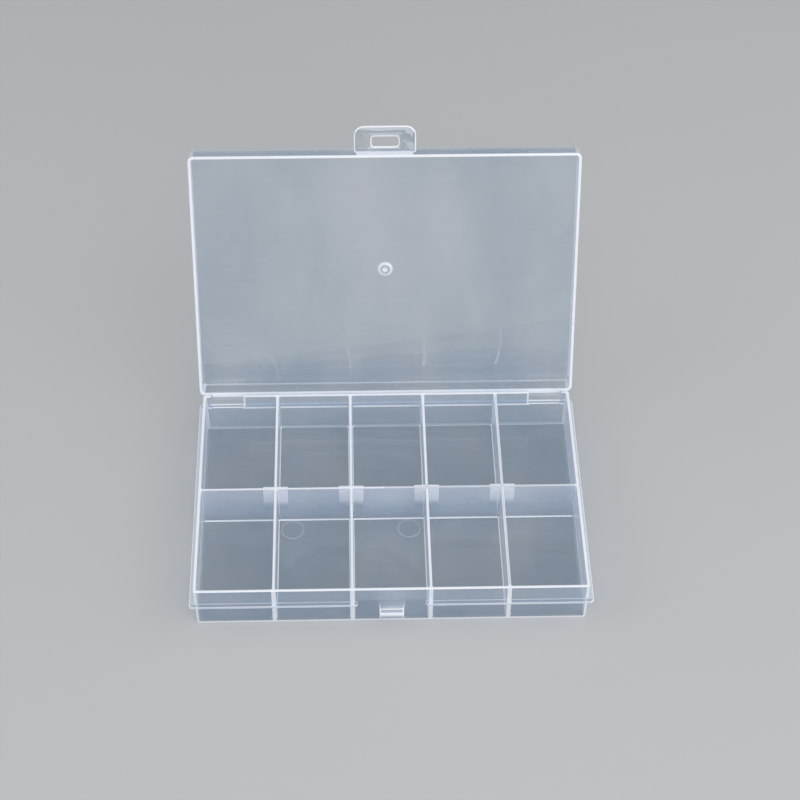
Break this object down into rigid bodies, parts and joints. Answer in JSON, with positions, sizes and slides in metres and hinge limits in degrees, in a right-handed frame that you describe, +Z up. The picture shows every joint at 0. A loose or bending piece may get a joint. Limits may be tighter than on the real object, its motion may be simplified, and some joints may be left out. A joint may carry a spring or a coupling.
{
  "type": "hinged compartment box",
  "caption": "Clear plastic flat box with fixed compartments, a lid on flexible hinge straps and a fold-down latch tab, for beads and small parts.",
  "frame": {"origin": "middle of the tray's underside, on the table", "axes": "+X to the right along the long side, +Y to the hinge side at the back, +Z up"},
  "size_m": [0.1398, 0.1363, 0.1156],
  "materials": {
    "tray_plastic": "clear, slightly milky moulded polypropylene, glossy",
    "lid_plastic": "clear, slightly milky moulded polypropylene, glossy",
    "hinge_film": "thin clear polypropylene film, glossy"
  },
  "bodies": {
    "tray": {"tray_floor": "tray_plastic", "front_wall": "tray_plastic", "left_wall": "tray_plastic", "right_wall": "tray_plastic", "rear_wall": "tray_plastic", "rear_wall_top": "tray_plastic", "rear_post_left": "tray_plastic", "rear_post_right": "tray_plastic", "long_divider": "tray_plastic", "front_divider_1": "tray_plastic", "front_divider_2": "tray_plastic", "front_divider_3": "tray_plastic", "front_divider_4": "tray_plastic", "rear_divider_1": "tray_plastic", "rear_divider_2": "tray_plastic", "rear_divider_3": "tray_plastic", "rear_divider_4": "tray_plastic", "left_ledge": "tray_plastic", "right_ledge": "tray_plastic", "rear_ledge": "tray_plastic", "front_ledge_left": "tray_plastic", "front_ledge_right": "tray_plastic", "latch_catch": "tray_plastic", "hinge_strap_left": "hinge_film", "hinge_strap_right": "hinge_film"},
    "lid": {"lid_panel": "lid_plastic", "lid_front_skirt": "lid_plastic", "lid_rear_skirt": "lid_plastic", "lid_left_skirt": "lid_plastic", "lid_right_skirt": "lid_plastic", "latch_film": "hinge_film"},
    "tab": {"latch_tab": "lid_plastic"}
  },
  "joints": [
    {"name": "lid_hinge", "type": "hinge", "parent": "tray", "child": "lid", "pos_m": [0, 0.04995, 0.01155], "axis": [1, 0, 0], "range_deg": [-72.5, 107.5], "deforming": ["hinge_strap_left", "hinge_strap_right"]},
    {"name": "latch_fold", "type": "hinge", "parent": "lid", "child": "tab", "pos_m": [0, 0.07987, 0.10545], "axis": [1, 0, 0], "range_deg": [0, 90], "deforming": ["latch_film"]}
  ]
}
